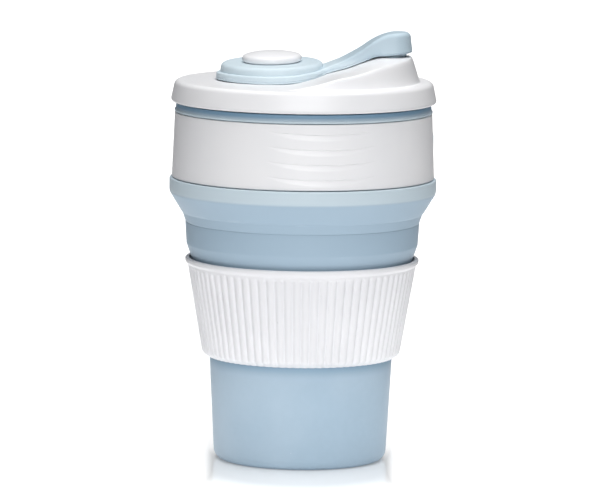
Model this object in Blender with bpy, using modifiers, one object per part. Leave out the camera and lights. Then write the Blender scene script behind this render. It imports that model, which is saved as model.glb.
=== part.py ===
"""Collapsible travel cup: a silicone cup of nested rings and fold walls, with a hard collar,
a ribbed grip sleeve, a press-on lid and a strap stopper that closes the lid's spout.

Metres, +Z up. The origin is the centre of the base, on the surface that the cup stands on.
+X points to the spout. Lengths below are in millimetres, and MM turns them into metres.
"""
import bpy
import bmesh
from math import cos, sin, pi, radians

MM = 0.001
SEGMENTS = 48          # facets round the cup and everything concentric with it
SMALL_SEGMENTS = 32    # facets round the button, its stem and the plug
GAP = 0.3              # between pieces that touch

# Silicone cup, from the base up: heights
FLOOR = 3.0
FLOOR_ROUND = 3.0
LOWER_TOP = 54.0
RING_LOWER = (61.2, 65.2)
RING_MIDDLE = (76.1, 83.8)
RIM_BOTTOM = 94.3
RIM_SEAT = 99.3        # the collar stands on this shoulder
FLANGE = (122.6, 125.6)

# Silicone cup: outer radii, and the wall
BASE_RADIUS = 30.1     # at the top of the base's rounded edge
BASE_ROUND = 4.2
FOOT_RECESS = (22.0, 0.7)
LOWER_MID_RADIUS = 32.0
LOWER_TOP_RADIUS = 33.2
RING_LOWER_RADII = (36.4, 36.7)
RING_MIDDLE_RADII = (40.5, 41.0)
STEP = (87.3, 42.1)    # height and radius of the small step in the upper fold wall
RIM_RADIUS = 46.7
RIM_BORE = 42.0
WALL = 2.0
FOLD_WALL = 1.5

# Collar and its badge, which stand a little turned from the lid's spout
COLLAR_TURN = radians(9)
COLLAR = (99.6, 122.3)
COLLAR_RADII = (45.9, 45.0)
COLLAR_WALL = 1.3
GROOVE_HEIGHTS = [103.4 + 5.17 * i for i in range(4)]
GROOVE_DEPTH = 0.5
GROOVE_TUBE = 1.4      # radius of the groove's round bottom
GROOVE_HALF_ANGLE = radians(25)
BADGE_HEIGHT = 110.1
BADGE_SIZE = (5.4, 10.2)
BADGE_PROUD = 0.4

# Sleeve
SLEEVE = (36.5, 71.2)
SLEEVE_WALL = 1.6
SLEEVE_RADII = (34.7, 40.0)     # where the straight taper starts and ends
SLEEVE_ENDS = (2.3, 2.9)        # height of the rounded foot, height of the flared lip
SLEEVE_LIP_RADIUS = 41.0
SLEEVE_FOOT_BORE = 32.5

# Lid
LID_EDGE = 126.0
LID_DECK = 133.5
LID_SHEET = 1.6
LID_RADIUS = 46.1
LID_TOP_RADIUS = 45.0
LID_ROUND = 2.0
PLUG_RING = (119.5, 41.7, 1.4)  # lowest height, outer radius, wall
PLATFORM_RADII = (40.4, 37.7)
SPOUT_TOP = 142.2
RAMP = [(-6.5, 133.2), (3, 135.1), (11, 137.2), (15, 138.3), (20, 140.2), (24, 141.6), (27, 142.2)]
CROWN = 0.0019                  # drop of the ramp towards its sides, per mm squared, at the spout
SPOUT_X = 30.6
SPOUT_BORE = 4.8

# Strap stopper and its button
STRAP_X = -11.3
STRAP_FLANGE = (19.5, 136.3)    # radius, top height
STRAP_DISC = (18.0, 139.9)
STRAP_BORE = 3.0
STRAP_CLEARANCE = 0.5           # between the strap's ring and the pocket that it lies in
POCKET_DEPTH = 0.2
BUTTON = (10.4, 143.7)
STEM_RADIUS = 2.6
RETAINER = (6.5, 1.7)           # radius, thickness
HINGE = (8.4, 140.4)            # x and z of the line where the arm bends away from the strap's ring
ARM_HALF_WIDTH = 7.0
ARM_TOP = [(8.5, 140.3), (12.5, 141.4), (17.5, 143.8), (21.8, 146.9), (26.2, 149.4), (30.0, 150.6),
           (34.1, 150.9)]
ARM_UNDER = [(24.7, 142.6), (21.9, 141.3), (18.3, 139.9), (14.7, 138.6), (8.5, 136.9)]
CAP_UNDER = [(37.7, 144.2), (37.2, 144.0), (25.4, 142.8)]
CAP_END = 37.7
NECK = (5.1, 142.5)
PIN = (4.2, 3.6, 136.6)         # upper radius, tip radius, tip height

SILICONE_BLUE = (0.50, 0.64, 0.73)
SILICONE_LIGHT = (0.62, 0.76, 0.83)
PLASTIC_WHITE = (0.86, 0.86, 0.87)


def clear_scene():
    for obj in list(bpy.data.objects):
        bpy.data.objects.remove(obj, do_unlink=True)


def new_collection(name):
    coll = bpy.data.collections.new(name)
    bpy.context.scene.collection.children.link(coll)
    return coll


def material(name, colour, roughness):
    mat = bpy.data.materials.new(name)
    mat.use_nodes = True
    shader = mat.node_tree.nodes["Principled BSDF"]
    shader.inputs["Base Color"].default_value = (*colour, 1.0)
    shader.inputs["Roughness"].default_value = roughness
    shader.inputs["Metallic"].default_value = 0.0
    mat.diffuse_color = (*colour, 1.0)
    return mat


def link(obj, coll, mat=None, smooth_angle=35):
    for old in list(obj.users_collection):
        old.objects.unlink(obj)
    coll.objects.link(obj)
    if mat:
        obj.data.materials.clear()
        obj.data.materials.append(mat)
    if smooth_angle:
        obj.data.shade_smooth()
        obj.data.set_sharp_from_angle(angle=radians(smooth_angle))
    return obj


def arc(centre, radius, start_deg, end_deg, count):
    """Points of a rounded corner in a profile, from one angle to the other."""
    points = []
    for i in range(count + 1):
        a = radians(start_deg + (end_deg - start_deg) * i / count)
        points.append((centre[0] + radius * cos(a), centre[1] + radius * sin(a)))
    return points


def turned(name, profile, coll, mat=None, closed=True, centre_x=0.0, steps=SEGMENTS):
    """Turn a profile of (radius, height) points, in mm, about a vertical axis at centre_x."""
    mesh = bpy.data.meshes.new(name)
    bm = bmesh.new()
    verts = [bm.verts.new((r * MM, 0.0, z * MM)) for r, z in profile]
    for a, b in zip(verts, verts[1:]):
        bm.edges.new((a, b))
    if closed:
        bm.edges.new((verts[-1], verts[0]))
    bm.to_mesh(mesh)
    bm.free()
    obj = bpy.data.objects.new(name, mesh)
    obj.location.x = centre_x * MM
    screw = obj.modifiers.new("Turn", 'SCREW')
    screw.axis = 'Z'
    screw.angle = 2 * pi
    screw.steps = steps
    screw.render_steps = steps
    screw.use_merge_vertices = True
    screw.merge_threshold = 0.00005
    screw.use_smooth_shade = True
    return link(obj, coll, mat, smooth_angle=None)


def extruded(name, outline, half_width, coll, mat=None):
    """A flat outline of (x, z) points, in mm, extruded to both sides of the XZ plane."""
    curve = bpy.data.curves.new(name + "_outline", 'CURVE')
    curve.dimensions = '2D'
    curve.fill_mode = 'BOTH'
    curve.extrude = half_width * MM
    spline = curve.splines.new('POLY')
    spline.points.add(len(outline) - 1)
    for point, (x, z) in zip(spline.points, outline):
        point.co = (x * MM, z * MM, 0.0, 1.0)
    spline.use_cyclic_u = True
    flat = bpy.data.objects.new(name + "_outline", curve)
    flat.rotation_euler.x = pi / 2
    bpy.context.scene.collection.objects.link(flat)
    bpy.context.view_layer.update()
    evaluated = flat.evaluated_get(bpy.context.evaluated_depsgraph_get())
    mesh = bpy.data.meshes.new_from_object(evaluated)
    bm = bmesh.new()
    bm.from_mesh(mesh)
    bmesh.ops.remove_doubles(bm, verts=bm.verts, dist=0.00001)
    bmesh.ops.transform(bm, matrix=flat.matrix_world, verts=bm.verts)
    bmesh.ops.recalc_face_normals(bm, faces=bm.faces)
    bm.to_mesh(mesh)
    bm.free()
    mesh.name = name
    bpy.data.objects.remove(flat, do_unlink=True)
    return link(bpy.data.objects.new(name, mesh), coll, mat)


def cone(name, low, high, coll, centre_x=0.0, steps=SEGMENTS):
    """A plain cone or cylinder between two (radius, height) rims, in mm."""
    bpy.ops.mesh.primitive_cone_add(
        vertices=steps, radius1=low[0] * MM, radius2=high[0] * MM, depth=(high[1] - low[1]) * MM,
        location=(centre_x * MM, 0.0, (low[1] + high[1]) / 2 * MM))
    obj = bpy.context.active_object
    obj.name = name
    return link(obj, coll, smooth_angle=None)


def boolean(obj, operation, other):
    mod = obj.modifiers.new(operation.title(), 'BOOLEAN')
    mod.operation = operation
    mod.object = other
    mod.solver = 'EXACT'
    other.hide_render = True
    other.display_type = 'WIRE'


def lower_radius(z):
    """Outer radius of the lower cup: a slight taper below the sleeve, a little more above it."""
    knee = SLEEVE[0]
    if z < knee:
        return LOWER_MID_RADIUS - (LOWER_MID_RADIUS - BASE_RADIUS) * (knee - z) / (knee - BASE_ROUND)
    return LOWER_MID_RADIUS + (LOWER_TOP_RADIUS - LOWER_MID_RADIUS) * (z - knee) / (LOWER_TOP - knee)


def make_lower_cup(coll, mat):
    base_corner = (BASE_RADIUS - BASE_ROUND, BASE_ROUND)
    recess_radius, recess_depth = FOOT_RECESS
    floor_radius = BASE_RADIUS - WALL - 3.4
    inside = [(0.0, FLOOR), (floor_radius, FLOOR)]
    inside += arc((floor_radius, FLOOR + FLOOR_ROUND), FLOOR_ROUND, -60, 0, 3)
    inside += [(lower_radius(z) - WALL, z) for z in (20.0, 36.0)]
    inside += [(LOWER_TOP_RADIUS - WALL, LOWER_TOP)]
    outside = [(lower_radius(z), z) for z in (LOWER_TOP, 36.2, 25.0, 14.0)]
    outside += arc(base_corner, BASE_ROUND, 0, -90, 5)
    outside += [(recess_radius + 1.0, 0.0), (recess_radius, recess_depth), (0.0, recess_depth)]
    return turned("lower_cup", inside + outside, coll, mat, closed=False)


def make_ring(name, heights, radii, coll, mat):
    low, high = heights
    r_low, r_high = radii
    profile = [(r_high - 0.5, high), (r_high, high - 0.5), (r_low, low + 0.5), (r_low - 0.3, low),
               (r_low - WALL, low), (r_high - WALL, high)]
    return turned(name, profile, coll, mat)


def make_fold_wall(name, outer, coll, mat):
    """A thin conical wall. outer runs from top to bottom; the inner side is FOLD_WALL further in."""
    inner = [(r - FOLD_WALL, z) for r, z in reversed(outer)]
    return turned(name, outer + inner, coll, mat)


def collar_radius(z):
    return COLLAR_RADII[0] + (COLLAR_RADII[1] - COLLAR_RADII[0]) * (z - COLLAR[0]) / (COLLAR[1] - COLLAR[0])


def make_cup_rim(coll, mat):
    """The rim bead under the collar, the wall inside the collar and the flange above it."""
    seat_radius = collar_radius(COLLAR[0]) - COLLAR_WALL - GAP
    neck_radius = collar_radius(COLLAR[1]) - COLLAR_WALL - GAP
    lip = collar_radius(COLLAR[1]) + 0.1
    profile = [(lip - 1.1, FLANGE[1]), (lip - 0.6, FLANGE[1] - 0.5), (lip - 0.5, FLANGE[0] + 1.0),
               (lip, FLANGE[0] + 0.6), (lip, FLANGE[0]), (neck_radius, FLANGE[0]), (seat_radius, RIM_SEAT),
               (RIM_RADIUS - 0.3, RIM_SEAT), (RIM_RADIUS, RIM_SEAT - 0.4), (RIM_RADIUS, RIM_BOTTOM + 0.5),
               (RIM_RADIUS - 0.3, RIM_BOTTOM), (RIM_RADIUS - 2.2, RIM_BOTTOM),
               (RIM_BORE, RIM_BOTTOM + 4.2), (RIM_BORE, FLANGE[1] - 0.4), (RIM_BORE + 0.4, FLANGE[1])]
    return turned("cup_rim", profile, coll, mat)


def groove_cutter(z, side, cutters):
    """A torus wider than the collar, so that its tube dips into one side only and leaves a lens."""
    offset = GROOVE_DEPTH / (1 - cos(GROOVE_HALF_ANGLE))
    major = collar_radius(z) + offset + GROOVE_TUBE - GROOVE_DEPTH
    bpy.ops.mesh.primitive_torus_add(
        major_radius=major * MM, minor_radius=GROOVE_TUBE * MM, major_segments=96, minor_segments=12,
        location=(-side * offset * sin(COLLAR_TURN) * MM, side * offset * cos(COLLAR_TURN) * MM, z * MM))
    obj = bpy.context.active_object
    obj.name = "collar_groove_cutter"
    return link(obj, cutters, smooth_angle=None)


def make_collar(coll, cutters, mat):
    low, high = COLLAR
    r_low, r_high = COLLAR_RADII
    profile = [(r_high - 0.4, high), (r_high, high - 0.4), (r_low, low + 0.3), (r_low - 0.3, low),
               (r_low - COLLAR_WALL, low), (r_high - COLLAR_WALL, high)]
    collar = turned("collar", profile, coll, mat)
    for side in (1, -1):
        for z in GROOVE_HEIGHTS:
            boolean(collar, 'DIFFERENCE', groove_cutter(z, side, cutters))
    bpy.ops.mesh.primitive_cube_add(size=1.0)
    window = bpy.context.active_object
    window.name = "badge_window_cutter"
    window.location = (COLLAR_RADII[0] * cos(COLLAR_TURN) * MM, COLLAR_RADII[0] * sin(COLLAR_TURN) * MM,
                       BADGE_HEIGHT * MM)
    window.rotation_euler.z = COLLAR_TURN
    window.scale = (6.0 * MM, (BADGE_SIZE[0] + 2 * GAP) * MM, (BADGE_SIZE[1] + 2 * GAP) * MM)
    link(window, cutters, smooth_angle=None)
    boolean(collar, 'DIFFERENCE', window)
    return collar


def make_badge(coll, mat):
    """A blank soft badge that stands a little proud of the collar, below the spout."""
    back = collar_radius(BADGE_HEIGHT - BADGE_SIZE[1] / 2) - COLLAR_WALL
    front = collar_radius(BADGE_HEIGHT) + BADGE_PROUD
    bpy.ops.mesh.primitive_cube_add(size=1.0)
    badge = bpy.context.active_object
    badge.name = "collar_badge"
    mesh = badge.data
    for vert in mesh.vertices:
        vert.co.x *= (front - back) * MM
        vert.co.y *= BADGE_SIZE[0] * MM
        vert.co.z *= BADGE_SIZE[1] * MM
    middle = (front + back) / 2 * MM
    badge.location = (middle * cos(COLLAR_TURN), middle * sin(COLLAR_TURN), BADGE_HEIGHT * MM)
    badge.rotation_euler.z = COLLAR_TURN
    bevel = badge.modifiers.new("Round", 'BEVEL')
    bevel.width = 0.3 * MM
    bevel.segments = 2
    return link(badge, coll, mat, smooth_angle=30)


def make_sleeve(coll, mat):
    bottom, top = SLEEVE
    r_low, r_high = SLEEVE_RADII
    lip = SLEEVE_LIP_RADIUS
    low, high = bottom + SLEEVE_ENDS[0], top - SLEEVE_ENDS[1]
    profile = [(lip - 0.5, top), (lip, top - 0.5), (lip - 0.1, top - 1.2), (r_high, high), (r_low, low)]
    profile += arc((r_low - 1.7, bottom + 1.6), 1.6, -20, -90, 3)
    profile += [(SLEEVE_FOOT_BORE, bottom), (SLEEVE_FOOT_BORE, bottom + 1.2), (r_low - SLEEVE_WALL, low),
                (r_high - SLEEVE_WALL, high), (lip - 1.3, top)]
    return turned("sleeve", profile, coll, mat)


def ramp_outline(drop, end_x):
    """Side view of the platform's top, lowered by drop: under the deck, up the ramp, level at the spout."""
    outline = [(-60.0, LID_DECK - drop - 6.0), (-60.0, RAMP[0][1] - drop)]
    outline += [(x, z - drop) for x, z in RAMP]
    outline += [(end_x, SPOUT_TOP - drop), (end_x, LID_DECK - drop - 6.0)]
    return outline


def crown_ramp(ramp):
    """Slice the ramp block lengthways and let its top fall away towards both sides."""
    bm = bmesh.new()
    bm.from_mesh(ramp.data)
    for i in range(-7, 8):
        geometry = list(bm.verts) + list(bm.edges) + list(bm.faces)
        bmesh.ops.bisect_plane(bm, geom=geometry, plane_co=(0.0, i * 5.5 * MM, 0.0), plane_no=(0.0, 1.0, 0.0))
    start, end = RAMP[0][0], RAMP[-1][0]
    for vert in bm.verts:
        x, y = vert.co.x / MM, vert.co.y / MM
        share = min(max((x - start) / (end - start), 0.0), 1.0)
        vert.co.z -= CROWN * share * min(y * y, 40.0 ** 2) * MM
    bm.to_mesh(ramp.data)
    bm.free()


def platform_body(name, inset, low, cutters):
    """The raised platform: a slightly tapered drum whose top is cut to the ramp's outline."""
    r_low, r_high = PLATFORM_RADII
    body = cone(name, (r_low - inset, low), (r_high - inset, SPOUT_TOP + 0.5), cutters)
    ramp = extruded(name + "_ramp", ramp_outline(inset, 60.0), 60.0, cutters)
    crown_ramp(ramp)
    boolean(body, 'INTERSECT', ramp)
    return body


def strap_pocket(name, margin, cutters):
    """The round pocket that the strap's ring lies in."""
    radius = STRAP_FLANGE[0] + STRAP_CLEARANCE + margin
    return cone(name, (radius, LID_DECK - POCKET_DEPTH - margin), (radius, 150.0), cutters, STRAP_X)


def make_lid(coll, cutters, mat):
    ring_low, ring_radius, ring_wall = PLUG_RING
    shoulder = arc((LID_TOP_RADIUS - LID_ROUND, LID_DECK - LID_ROUND), LID_ROUND, 90, 12, 4)
    under = LID_DECK - LID_SHEET
    profile = [(0.0, LID_DECK), (PLATFORM_RADII[0] - 6.0, LID_DECK)] + shoulder
    profile += [(LID_RADIUS, LID_EDGE + 1.0), (LID_RADIUS - 0.3, LID_EDGE + 0.3), (LID_RADIUS - 1.0, LID_EDGE),
                (ring_radius, LID_EDGE - 0.1), (ring_radius, ring_low + 0.8), (ring_radius - 0.5, ring_low),
                (ring_radius - ring_wall, ring_low), (ring_radius - ring_wall, under), (0.0, under)]
    lid = turned("lid", profile, coll, mat, closed=False)
    boolean(lid, 'UNION', platform_body("platform_block", 0.0, LID_DECK - 1.0, cutters))
    hollow = platform_body("platform_hollow", LID_SHEET, under - 1.0, cutters)
    boolean(hollow, 'DIFFERENCE', strap_pocket("strap_pocket_boss", LID_SHEET, cutters))
    boolean(lid, 'DIFFERENCE', hollow)
    boolean(lid, 'DIFFERENCE', strap_pocket("strap_pocket_cutter", 0.0, cutters))
    spout = cone("spout_cutter", (SPOUT_BORE, SPOUT_TOP - 5.0), (SPOUT_BORE, SPOUT_TOP + 5.0),
                 cutters, SPOUT_X, SMALL_SEGMENTS)
    boolean(lid, 'DIFFERENCE', spout)
    stem_hole = cone("stem_hole_cutter", (STRAP_BORE, under - 2.0), (STRAP_BORE, LID_DECK + 2.0),
                     cutters, STRAP_X, SMALL_SEGMENTS)
    boolean(lid, 'DIFFERENCE', stem_hole)
    return lid


def make_strap_ring(coll, mat):
    """The stepped ring of the strap that the button holds down: a wide flange and a thick disc."""
    flange_radius, flange_top = STRAP_FLANGE
    disc_radius, disc_top = STRAP_DISC
    bottom = LID_DECK - POCKET_DEPTH + GAP
    profile = arc((disc_radius - 1.8, disc_top - 1.8), 1.8, 90, 0, 4)
    profile += [(disc_radius, flange_top + 0.3), (flange_radius - 0.6, flange_top),
                (flange_radius, flange_top - 0.6), (flange_radius, bottom + 0.3), (flange_radius - 0.3, bottom),
                (STRAP_BORE, bottom), (STRAP_BORE, disc_top)]
    return turned("strap_ring", profile, coll, mat, centre_x=STRAP_X)


def make_stopper(coll, cutters, mat):
    """The strap's arm, the cap over the spout and the plug that enters the spout, in one moulding."""
    outline = list(ARM_TOP)
    outline += arc((CAP_END - 1.8, ARM_TOP[-1][1] - 1.7), 1.8, 85, 5, 3)
    outline += [(CAP_END, CAP_UNDER[0][1])] + CAP_UNDER[1:] + ARM_UNDER
    outline.reverse()
    stopper = extruded("stopper", outline, ARM_HALF_WIDTH, coll, mat)
    bevel = stopper.modifiers.new("Round", 'BEVEL')
    bevel.width = 1.0 * MM
    bevel.segments = 2
    bevel.limit_method = 'ANGLE'
    bevel.angle_limit = radians(50)
    neck_radius, neck_low = NECK
    pin_radius, tip_radius, tip = PIN
    neck_top = neck_low + 3.5
    profile = [(0.0, neck_top), (neck_radius, neck_top), (neck_radius, neck_low), (pin_radius, neck_low),
               (tip_radius, tip + 0.6), (tip_radius - 0.6, tip), (0.0, tip)]
    plug = turned("plug_block", profile, cutters, closed=False, centre_x=SPOUT_X, steps=SMALL_SEGMENTS)
    boolean(stopper, 'UNION', plug)
    hinge = bpy.data.objects.new("stopper_hinge", None)
    hinge.location = (HINGE[0] * MM, 0.0, HINGE[1] * MM)
    coll.objects.link(hinge)
    stopper.parent = hinge
    stopper.location = -hinge.location
    return stopper


def make_button(coll, mat):
    """The domed button: its stem goes through the strap's ring and the lid."""
    radius, top = BUTTON
    under = STRAP_DISC[1] + GAP
    stem_low = LID_DECK - LID_SHEET - GAP - RETAINER[1] - 0.4
    profile = [(0.0, top), (radius * 0.45, top - 0.15), (radius * 0.75, top - 0.6), (radius * 0.93, top - 1.2),
               (radius, under + 0.7), (radius - 0.1, under + 0.3), (radius - 0.4, under), (STEM_RADIUS, under),
               (STEM_RADIUS, stem_low + 0.4), (STEM_RADIUS - 0.4, stem_low), (0.0, stem_low)]
    return turned("button", profile, coll, mat, closed=False, centre_x=STRAP_X, steps=SMALL_SEGMENTS)


def make_retainer(coll, mat):
    """The washer under the lid that keeps the button's stem in."""
    radius, thickness = RETAINER
    top = LID_DECK - LID_SHEET - GAP
    bore = STEM_RADIUS + GAP
    profile = [(radius, top), (radius, top - thickness + 0.4), (radius - 0.4, top - thickness),
               (bore, top - thickness), (bore, top)]
    return turned("button_retainer", profile, coll, mat, centre_x=STRAP_X, steps=SMALL_SEGMENTS)


def make_fold_walls(coll, mats):
    """Three thin cones: each turns inside out as the ring above it comes down past it."""
    step_z, step_radius = STEP
    lower = [(RING_LOWER_RADII[0], RING_LOWER[0] - GAP), (LOWER_TOP_RADIUS, LOWER_TOP + GAP)]
    middle = [(RING_MIDDLE_RADII[0], RING_MIDDLE[0] - GAP), (RING_LOWER_RADII[1], RING_LOWER[1] + GAP)]
    upper = [(RIM_RADIUS - 0.2, RIM_BOTTOM - GAP), (step_radius, step_z),
             (RING_MIDDLE_RADII[1] + 0.2, RING_MIDDLE[1] + GAP)]
    for place, outer in (("lower", lower), ("middle", middle), ("upper", upper)):
        make_fold_wall("fold_wall_" + place, outer, coll, mats["fold_" + place])


def main():
    clear_scene()
    cup = new_collection("collapsible_travel_cup")
    cutters = new_collection("cutters")
    silicone = {n: material(n + "_silicone", SILICONE_BLUE, 0.55) for n in
                ("lower_cup", "ring_lower", "ring_middle", "fold_lower", "fold_middle", "fold_upper", "rim")}
    make_lower_cup(cup, silicone["lower_cup"])
    make_ring("ring_lower", RING_LOWER, RING_LOWER_RADII, cup, silicone["ring_lower"])
    make_ring("ring_middle", RING_MIDDLE, RING_MIDDLE_RADII, cup, silicone["ring_middle"])
    make_cup_rim(cup, silicone["rim"])
    make_collar(cup, cutters, material("collar_plastic", PLASTIC_WHITE, 0.4))
    make_badge(cup, material("badge_silicone", SILICONE_LIGHT, 0.5))
    make_sleeve(cup, material("sleeve_plastic", PLASTIC_WHITE, 0.45))
    make_lid(cup, cutters, material("lid_plastic", PLASTIC_WHITE, 0.35))
    make_fold_walls(cup, silicone)
    make_strap_ring(cup, material("strap_silicone", SILICONE_LIGHT, 0.5))
    make_stopper(cup, cutters, material("stopper_silicone", SILICONE_LIGHT, 0.5))
    make_button(cup, material("button_plastic", PLASTIC_WHITE, 0.35))
    make_retainer(cup, material("retainer_plastic", PLASTIC_WHITE, 0.45))


main()
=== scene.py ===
"""Looks of the collapsible travel cup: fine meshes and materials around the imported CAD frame.

Every piece is in the frame's own space: metres, +Z up, +X to the spout. Lengths below are in
millimetres, and MM turns them into metres. The driving sizes are read from the CAD nodes' boxes.
"""
from math import asin, ceil, cos, pi, radians, sin, tan

import bmesh
import bpy
import numpy as np
from mathutils import Matrix, Vector


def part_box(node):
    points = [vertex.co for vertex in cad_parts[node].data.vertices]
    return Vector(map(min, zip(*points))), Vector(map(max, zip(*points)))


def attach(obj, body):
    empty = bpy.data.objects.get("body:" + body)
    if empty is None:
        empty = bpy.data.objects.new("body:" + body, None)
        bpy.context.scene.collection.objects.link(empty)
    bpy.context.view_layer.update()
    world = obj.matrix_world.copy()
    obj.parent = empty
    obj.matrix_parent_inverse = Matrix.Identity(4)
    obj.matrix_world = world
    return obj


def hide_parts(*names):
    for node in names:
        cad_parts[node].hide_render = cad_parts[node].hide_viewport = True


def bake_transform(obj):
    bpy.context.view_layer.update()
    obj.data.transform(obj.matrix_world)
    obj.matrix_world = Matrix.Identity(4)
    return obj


MM = 0.001
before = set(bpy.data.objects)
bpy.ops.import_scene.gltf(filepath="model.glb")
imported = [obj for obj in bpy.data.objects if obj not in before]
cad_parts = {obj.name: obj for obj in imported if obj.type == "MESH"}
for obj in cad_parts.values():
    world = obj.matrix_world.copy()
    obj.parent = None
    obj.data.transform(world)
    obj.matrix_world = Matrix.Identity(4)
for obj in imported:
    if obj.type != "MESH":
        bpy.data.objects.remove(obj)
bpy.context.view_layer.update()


def size(node):
    """Largest x, lowest and highest z of a CAD node, in mm."""
    low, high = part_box(node)
    return high.x / MM, low.z / MM, high.z / MM


# Driving sizes, from the frame
LOWER_RADIUS, _, LOWER_TOP = size("lower_cup")
RING_LOWER_RADIUS, RING_LOWER_LOW, RING_LOWER_TOP = size("ring_lower")
RING_MIDDLE_RADIUS, RING_MIDDLE_LOW, RING_MIDDLE_TOP = size("ring_middle")
RIM_RADIUS, RIM_LOW, RIM_TOP = size("cup_rim")
COLLAR_RADIUS, COLLAR_LOW, COLLAR_TOP = size("collar")
SLEEVE_RADIUS, SLEEVE_LOW, SLEEVE_TOP = size("sleeve")
LID_RADIUS, PLUG_LOW, SPOUT_TOP = size("lid")
STRAP_END, STRAP_LOW, DISC_TOP = size("strap_ring")
CAP_END, PIN_LOW, _ = size("stopper")
BUTTON_END, STEM_LOW, BUTTON_TOP = size("button")
STRAP_X = (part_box("strap_ring")[0].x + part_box("strap_ring")[1].x) / 2 / MM
FLANGE_RADIUS = STRAP_END - STRAP_X
BUTTON_RADIUS = BUTTON_END - STRAP_X

# Silicone cup
FLOOR = 3.0
BASE_RADIUS = 30.1
BASE_ROUND = 4.2
FOOT_RECESS = (22.0, 0.7)       # radius, depth
KNEE = (32.0, 36.5)             # the taper changes here, under the sleeve's edge
RING_FOOT_RADIUS = 40.5         # outer radius at the middle ring's lower edge
STEP = (42.1, 87.3)             # the small step in the upper fold wall
RIM_SEAT = 99.3
RIM_BORE = 42.0
FLANGE_LOW = 122.6
WALL = 2.0
FOLD_WALL = 1.5
CUT_LOWER = 63.2                # two of the cup's meshes meet here, on the lower ring

# Collar and badge
COLLAR_TURN = radians(9)
COLLAR_TOP_RADIUS = 45.0
COLLAR_WALL = 1.3
GROOVES = [103.4 + 5.17 * i for i in range(4)]
GROOVE_DEPTH = 0.6
GROOVE_SAG = 1.0
GROOVE_HEIGHT = 2.3
GROOVE_HALF_ANGLE = radians(25)
BADGE_HEIGHT = 110.1
BADGE_SIZE = (5.4, 10.2)
BADGE_PROUD = 0.4
BADGE_GAP = 0.3

# Sleeve
SLEEVE_RADII = (34.7, 40.0)     # at 1.4 above the bottom and 2.4 below the top
SLEEVE_WALL = 1.6
SLEEVE_BORE = 32.5
SLEEVE_BAND = 3.5               # smooth band under the lip
RIBS = 78
RIB_DEPTH = 0.65

# Lid
LID_EDGE = 126.0
DECK = 133.5
SHEET = 1.6
LID_TOP_RADIUS = 45.0
LID_ROUND = 2.0
PLUG_RING = (41.7, 1.4)         # outer radius, wall
PLATFORM_RADII = (40.4, 37.7)   # at the deck and at the spout's height
RAMP = [(-6.5, 133.2), (3, 135.1), (11, 137.2), (15, 138.3), (20, 140.2), (24, 141.6),
        (27, 142.2)]
CROWN = 0.002                   # drop of the ramp towards its sides, per mm squared
CROWN_START = (11.0, 27.0)      # x over which the crown comes in
SPOUT_X = 30.6
SPOUT_BORE = 4.8
POCKET_CLEARANCE = 0.5
POCKET_DEPTH = 0.2              # in the deck
POCKET_IN_RAMP = 0.9            # in the ramp

# Strap and stopper: one sheet that lies in the pocket, climbs the ramp and thickens into the cap,
# with a thick disc on its ring and a plug under its cap
DISC_RADIUS = 17.9
STRAP_BORE = 3.0
ARM_HALF_WIDTH = 7.0
STRAP_FLARE = 4.5               # radius of the corner between ring and arm
STRAP_TWIST = 0.045             # sideways slope of disc, button and arm
DISC_RISE = 0.022               # slope of disc and button up towards the arm
SHEET_TOP = [(-32.0, 136.35), (-7.0, 136.35), (-3.5, 136.5), (1.0, 137.05), (5.2, 137.85),
             (8.6, 139.4), (12.5, 141.05), (16.3, 143.05), (20.2, 145.4), (23.0, 147.4),
             (26.2, 149.3), (29.5, 150.5), (34.1, 150.9), (37.7, 150.8)]
SHEET_UNDER = [(-32.0, 133.6), (-4.0, 133.6), (0.0, 133.9), (3.0, 134.4), (6.0, 135.4),
               (8.5, 136.45), (11.0, 137.2), (14.7, 138.3), (18.3, 139.65), (21.9, 141.15),
               (24.7, 142.3), (29.0, 142.7), (37.7, 143.6)]
ARM_START = (8.0, 14.0)         # x over which the ring's soft edge turns into the arm's
CAP_START = (22.0, 29.0)        # x over which the arm's edge turns into the cap's
SHOULDERS = (0.75, 0.25, 0.8)   # rounding of the top edge: ring, more on the arm, more on the cap
LEANS = (0.1, 0.5)              # how far the sides lean in: everywhere, and more on the cap
SEAM_HEIGHTS = (0.85, 0.35)     # the seam above the underside: ring, and how much lower on the arm
SEAM_DROP = (16.0, 26.0)        # x over which the seam comes down
CROWN_RISE = 0.2                # crown across the arm
CROWN_X = (4.0, 13.0)           # x over which it comes in
TWIST_IN, TWIST_OUT = (2.0, 8.0), (29.0, 21.0)  # x from none to all of the sideways slope
NECK = (5.1, 142.5)             # radius and lower end of the plug's neck
PIN_RADII = (4.2, 3.6)          # of the plug, above and below

# Button and washer
BUTTON_STEM = 2.6               # radius
BUTTON_GAP = 0.15               # between the disc and the button
DOME = (8.0, 0.8)               # radius and drop of the button's domed middle
WASHER = (6.5, 1.7)             # radius, thickness

# Colours, linear
SILICONE_BLUE = (0.402, 0.520, 0.625)
# Cloudier blue; also painted shade on the fold walls and middle ring above the sleeve
SILICONE_DEEP = (0.358, 0.480, 0.588)
SILICONE_SLEEVE_SHADOW = (0.205, 0.325, 0.440)  # painted shadow just under the sleeve
SILICONE_LIGHT = (0.595, 0.700, 0.760)
SILICONE_RIM_HIGHLIGHT = (0.560, 0.665, 0.730)  # painted highlight on the thick rim bead
SILICONE_ARM_SHADE = (0.470, 0.585, 0.660)   # painted shade on the strap above the disc: its arm and cap
SILICONE_NECK = (0.150, 0.272, 0.395)  # the neck, in the lid's shadow
WHITE_PLASTIC = (0.850, 0.850, 0.864)
WHITE_SHADE = (0.822, 0.825, 0.844)
SLEEVE_WHITE = (0.790, 0.792, 0.816)
SLEEVE_SHADE = (0.758, 0.761, 0.786)

DUST = (0.85, 0.88, 0.9)
PALE_FLOOR = ((0.82, 0.82, 0.82), (0.84, 0.84, 0.84))
DIM_FLOOR = (0.26, 0.26, 0.27)  # in front and beside, so the cup's sides are not lit from below

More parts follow.
